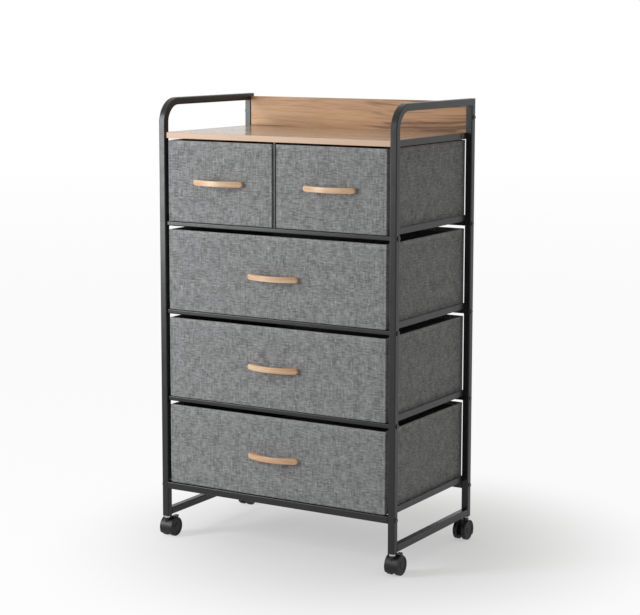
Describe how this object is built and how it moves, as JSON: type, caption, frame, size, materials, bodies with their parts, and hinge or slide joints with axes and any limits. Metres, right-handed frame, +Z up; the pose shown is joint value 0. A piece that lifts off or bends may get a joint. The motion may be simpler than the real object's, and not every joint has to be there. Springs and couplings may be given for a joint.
{
  "type": "fabric drawer dresser",
  "caption": "Rolling fabric drawer dresser: black tube frame with side hoops, wood-grain top and back boards, soft grey drawers with bowed wooden pulls, and twin-wheel casters.",
  "frame": {"origin": "on the floor, at the middle of the overall width and depth with the drawers shut", "axes": "+X to the right of someone facing the drawers, +Y to the back, +Z up"},
  "size_m": [0.5742, 0.3612, 0.9315],
  "materials": {
    "powder_coat": "satin black powder coat",
    "bolt_black": "black oxide and lacquer",
    "steel": "zinc plated",
    "board_laminate": "light oak grain laminate, matt",
    "handle_wood": "pale wood, clear satin lacquer",
    "base_board": "plain fibreboard",
    "drawer_fabric": "heathered grey linen-look weave",
    "black_plastic": "fine moulded texture"
  },
  "bodies": {
    "frame": {"left_hoop": "powder_coat", "left_rear_post": "powder_coat", "left_side_rails": "powder_coat", "right_hoop": "powder_coat", "right_rear_post": "powder_coat", "right_side_rails": "powder_coat", "front_bottom_rail": "powder_coat", "rear_bottom_rail": "powder_coat", "front_lower_rail": "powder_coat", "front_middle_rail": "powder_coat", "front_upper_rail": "powder_coat", "rear_tier_rails": "powder_coat", "front_divider": "powder_coat", "rear_divider": "powder_coat", "top_board": "board_laminate", "back_board": "board_laminate", "frame_bolts": "bolt_black", "board_screws": "bolt_black", "back_board_bolts": "bolt_black", "post_sockets": "black_plastic", "caster_stems": "steel"},
    "top_left_drawer": {"top_left_drawer_box": "drawer_fabric", "top_left_drawer_base_board": "base_board", "top_left_drawer_handle": "handle_wood", "top_left_drawer_handle_screws": "steel"},
    "top_right_drawer": {"top_right_drawer_box": "drawer_fabric", "top_right_drawer_base_board": "base_board", "top_right_drawer_handle": "handle_wood", "top_right_drawer_handle_screws": "steel"},
    "upper_drawer": {"upper_drawer_box": "drawer_fabric", "upper_drawer_base_board": "base_board", "upper_drawer_handle": "handle_wood", "upper_drawer_handle_screws": "steel"},
    "middle_drawer": {"middle_drawer_box": "drawer_fabric", "middle_drawer_base_board": "base_board", "middle_drawer_handle": "handle_wood", "middle_drawer_handle_screws": "steel"},
    "lower_drawer": {"lower_drawer_box": "drawer_fabric", "lower_drawer_base_board": "base_board", "lower_drawer_handle": "handle_wood", "lower_drawer_handle_screws": "steel"},
    "front_left_caster": {"front_left_caster_housing": "black_plastic", "front_left_caster_axle": "steel"},
    "front_left_caster_left_wheel": {"front_left_caster_left_wheel": "black_plastic"},
    "front_left_caster_right_wheel": {"front_left_caster_right_wheel": "black_plastic"},
    "front_left_brake_lever": {"front_left_brake_lever": "black_plastic"},
    "front_right_caster": {"front_right_caster_housing": "black_plastic", "front_right_caster_axle": "steel"},
    "front_right_caster_left_wheel": {"front_right_caster_left_wheel": "black_plastic"},
    "front_right_caster_right_wheel": {"front_right_caster_right_wheel": "black_plastic"},
    "front_right_brake_lever": {"front_right_brake_lever": "black_plastic"},
    "rear_left_caster": {"rear_left_caster_housing": "black_plastic", "rear_left_caster_axle": "steel"},
    "rear_left_caster_left_wheel": {"rear_left_caster_left_wheel": "black_plastic"},
    "rear_left_caster_right_wheel": {"rear_left_caster_right_wheel": "black_plastic"},
    "rear_right_caster": {"rear_right_caster_housing": "black_plastic", "rear_right_caster_axle": "steel"},
    "rear_right_caster_left_wheel": {"rear_right_caster_left_wheel": "black_plastic"},
    "rear_right_caster_right_wheel": {"rear_right_caster_right_wheel": "black_plastic"}
  },
  "joints": [
    {"name": "top_left_drawer_slide", "type": "slide", "parent": "frame", "child": "top_left_drawer", "axis": [0, -1, 0], "range_m": [0, 0.26]},
    {"name": "top_right_drawer_slide", "type": "slide", "parent": "frame", "child": "top_right_drawer", "axis": [0, -1, 0], "range_m": [0, 0.26]},
    {"name": "upper_drawer_slide", "type": "slide", "parent": "frame", "child": "upper_drawer", "axis": [0, -1, 0], "range_m": [0, 0.26]},
    {"name": "middle_drawer_slide", "type": "slide", "parent": "frame", "child": "middle_drawer", "axis": [0, -1, 0], "range_m": [0, 0.26]},
    {"name": "lower_drawer_slide", "type": "slide", "parent": "frame", "child": "lower_drawer", "axis": [0, -1, 0], "range_m": [0, 0.26]},
    {"name": "front_left_swivel", "type": "hinge", "parent": "frame", "child": "front_left_caster", "pos_m": [-0.2725, -0.15215, 0.0426], "axis": [0, 0, 1], "continuous": true},
    {"name": "front_left_caster_left_wheel_spin", "type": "hinge", "parent": "front_left_caster", "child": "front_left_caster_left_wheel", "pos_m": [-0.2725, -0.13785, 0.0202], "axis": [1, 0, 0], "continuous": true},
    {"name": "front_left_caster_right_wheel_spin", "type": "hinge", "parent": "front_left_caster", "child": "front_left_caster_right_wheel", "pos_m": [-0.2725, -0.13785, 0.0202], "axis": [1, 0, 0], "continuous": true},
    {"name": "front_left_brake_lever_hinge", "type": "hinge", "parent": "front_left_caster", "child": "front_left_brake_lever", "pos_m": [-0.2725, -0.13635, 0.0322], "axis": [-1, 0, 0], "range_deg": [0, 12]},
    {"name": "front_right_swivel", "type": "hinge", "parent": "frame", "child": "front_right_caster", "pos_m": [0.2725, -0.15215, 0.0426], "axis": [0, 0, 1], "continuous": true},
    {"name": "front_right_caster_left_wheel_spin", "type": "hinge", "parent": "front_right_caster", "child": "front_right_caster_left_wheel", "pos_m": [0.2725, -0.13785, 0.0202], "axis": [1, 0, 0], "continuous": true},
    {"name": "front_right_caster_right_wheel_spin", "type": "hinge", "parent": "front_right_caster", "child": "front_right_caster_right_wheel", "pos_m": [0.2725, -0.13785, 0.0202], "axis": [1, 0, 0], "continuous": true},
    {"name": "front_right_brake_lever_hinge", "type": "hinge", "parent": "front_right_caster", "child": "front_right_brake_lever", "pos_m": [0.2725, -0.13635, 0.0322], "axis": [-1, 0, 0], "range_deg": [0, 12]},
    {"name": "rear_left_swivel", "type": "hinge", "parent": "frame", "child": "rear_left_caster", "pos_m": [-0.2725, 0.17285, 0.0426], "axis": [0, 0, 1], "continuous": true},
    {"name": "rear_left_caster_left_wheel_spin", "type": "hinge", "parent": "rear_left_caster", "child": "rear_left_caster_left_wheel", "pos_m": [-0.2725, 0.15855, 0.0202], "axis": [-1, 0, 0], "continuous": true},
    {"name": "rear_left_caster_right_wheel_spin", "type": "hinge", "parent": "rear_left_caster", "child": "rear_left_caster_right_wheel", "pos_m": [-0.2725, 0.15855, 0.0202], "axis": [-1, 0, 0], "continuous": true},
    {"name": "rear_right_swivel", "type": "hinge", "parent": "frame", "child": "rear_right_caster", "pos_m": [0.2725, 0.17285, 0.0426], "axis": [0, 0, 1], "continuous": true},
    {"name": "rear_right_caster_left_wheel_spin", "type": "hinge", "parent": "rear_right_caster", "child": "rear_right_caster_left_wheel", "pos_m": [0.2725, 0.15855, 0.0202], "axis": [-1, 0, 0], "continuous": true},
    {"name": "rear_right_caster_right_wheel_spin", "type": "hinge", "parent": "rear_right_caster", "child": "rear_right_caster_right_wheel", "pos_m": [0.2725, 0.15855, 0.0202], "axis": [-1, 0, 0], "continuous": true}
  ]
}
